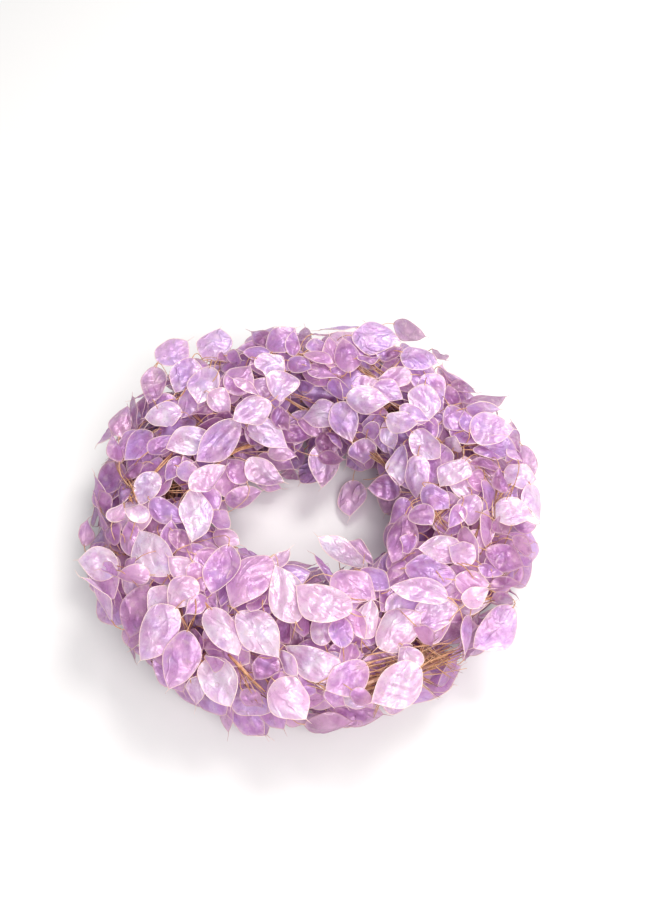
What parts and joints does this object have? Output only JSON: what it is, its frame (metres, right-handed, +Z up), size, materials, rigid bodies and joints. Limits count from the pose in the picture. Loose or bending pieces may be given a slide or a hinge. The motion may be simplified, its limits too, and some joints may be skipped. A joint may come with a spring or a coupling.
{
  "type": "lunaria wreath",
  "caption": "Round wreath of dyed lilac lunaria seed pods on stalks, in leafy sprays bound by wire to a ring of stems on a wire hoop, lying flat.",
  "frame": {"origin": "on the surface that the wreath lies on, at the wreath's axis", "axes": "+Z up, along the wreath's axis; the picture's camera stands towards -Y"},
  "size_m": [0.3657, 0.3605, 0.0904],
  "materials": {
    "pods": "satin, papery and translucent, dyed lilac",
    "stems": "matt dried stems",
    "wire": "dull florist's wire"
  },
  "bodies": {
    "root": {"stem_ring": "stems", "hoop": "wire", "binding_wire": "wire", "spray_01_inner": "pods", "spray_01_top": "pods", "spray_01_shoulder": "pods", "spray_01_side": "pods", "spray_02_inner": "pods", "spray_02_top": "pods", "spray_02_shoulder": "pods", "spray_02_side": "pods", "spray_03_inner": "pods", "spray_03_top": "pods", "spray_03_shoulder": "pods", "spray_03_side": "pods", "spray_04_inner": "pods", "spray_04_top": "pods", "spray_04_shoulder": "pods", "spray_04_side": "pods", "spray_05_inner": "pods", "spray_05_top": "pods", "spray_05_shoulder": "pods", "spray_05_side": "pods", "spray_06_inner": "pods", "spray_06_top": "pods", "spray_06_shoulder": "pods", "spray_06_side": "pods", "spray_07_inner": "pods", "spray_07_top": "pods", "spray_07_shoulder": "pods", "spray_07_side": "pods", "spray_08_inner": "pods", "spray_08_top": "pods", "spray_08_shoulder": "pods", "spray_08_side": "pods", "spray_09_inner": "pods", "spray_09_top": "pods", "spray_09_shoulder": "pods", "spray_09_side": "pods", "spray_10_inner": "pods", "spray_10_top": "pods", "spray_10_shoulder": "pods", "spray_10_side": "pods", "spray_11_inner": "pods", "spray_11_top": "pods", "spray_11_shoulder": "pods", "spray_11_side": "pods", "spray_12_inner": "pods", "spray_12_top": "pods", "spray_12_shoulder": "pods", "spray_12_side": "pods", "spray_13_inner": "pods", "spray_13_top": "pods", "spray_13_shoulder": "pods", "spray_13_side": "pods", "spray_14_inner": "pods", "spray_14_top": "pods", "spray_14_shoulder": "pods", "spray_14_side": "pods"}
  },
  "joints": []
}
